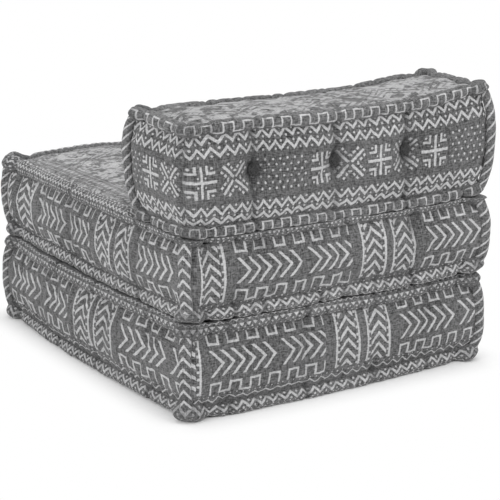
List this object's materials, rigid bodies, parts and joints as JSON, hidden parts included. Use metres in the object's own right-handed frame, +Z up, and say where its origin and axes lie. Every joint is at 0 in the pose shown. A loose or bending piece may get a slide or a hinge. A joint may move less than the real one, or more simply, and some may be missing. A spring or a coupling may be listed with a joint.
{
  "type": "modular sofa",
  "caption": "Low floor-sofa module: stacked box-edged seat cushions with a tufted backrest cushion standing along the rear, in woven cloth with rolled, stuffed edges",
  "frame": {"origin": "on the floor, at the middle of the seat's plan", "axes": "+Z up; +Y to the rear, where the backrest stands; +X to the sitter's left; the sitter faces -Y"},
  "size_m": [0.6374, 0.7366, 0.5051],
  "materials": {
    "patterned_weave": "dark grey handwoven wool with rows of light grey zigzags, meanders and chevrons",
    "roll_weave": "the same cloth over stuffed, hand-stitched rolls, with a small border pattern",
    "faded_patchwork": "light grey cloth with a faded, distressed geometric print",
    "underside_cloth": "plain dark grey lining cloth",
    "button_cloth": "dark grey cloth drawn over a button",
    "tufting_twine": "waxed cotton cord",
    "stuffing": "packed cotton stuffing"
  },
  "bodies": {
    "lower_seat": {"lower_filling": "stuffing", "lower_top_panel": "faded_patchwork", "lower_bottom_panel": "underside_cloth", "lower_left_boxing": "patterned_weave", "lower_rear_boxing": "patterned_weave", "lower_right_boxing": "patterned_weave", "lower_front_boxing": "patterned_weave", "lower_top_roll": "roll_weave", "lower_bottom_roll": "roll_weave", "lower_corner_rolls": "roll_weave"},
    "upper_seat": {"upper_filling": "stuffing", "upper_top_panel": "faded_patchwork", "upper_bottom_panel": "underside_cloth", "upper_left_boxing": "patterned_weave", "upper_rear_boxing": "patterned_weave", "upper_right_boxing": "patterned_weave", "upper_front_boxing": "patterned_weave", "upper_top_roll": "roll_weave", "upper_bottom_roll": "roll_weave", "upper_corner_rolls": "roll_weave"},
    "backrest": {"back_filling": "stuffing", "back_top_panel": "faded_patchwork", "back_bottom_panel": "underside_cloth", "back_rear_boxing": "patterned_weave", "back_front_boxing": "patterned_weave", "back_top_roll": "roll_weave", "back_bottom_roll": "roll_weave", "back_corner_rolls": "roll_weave", "back_rear_buttons": "button_cloth", "back_front_buttons": "button_cloth", "back_tufting_twines": "tufting_twine"}
  },
  "joints": [
    {"name": "upper_seat_lift", "type": "slide", "parent": "lower_seat", "child": "upper_seat", "axis": [0, 0, 1], "range_m": [0, 0.2]},
    {"name": "backrest_lift", "type": "slide", "parent": "upper_seat", "child": "backrest", "axis": [0, 0, 1], "range_m": [0, 0.2]}
  ]
}
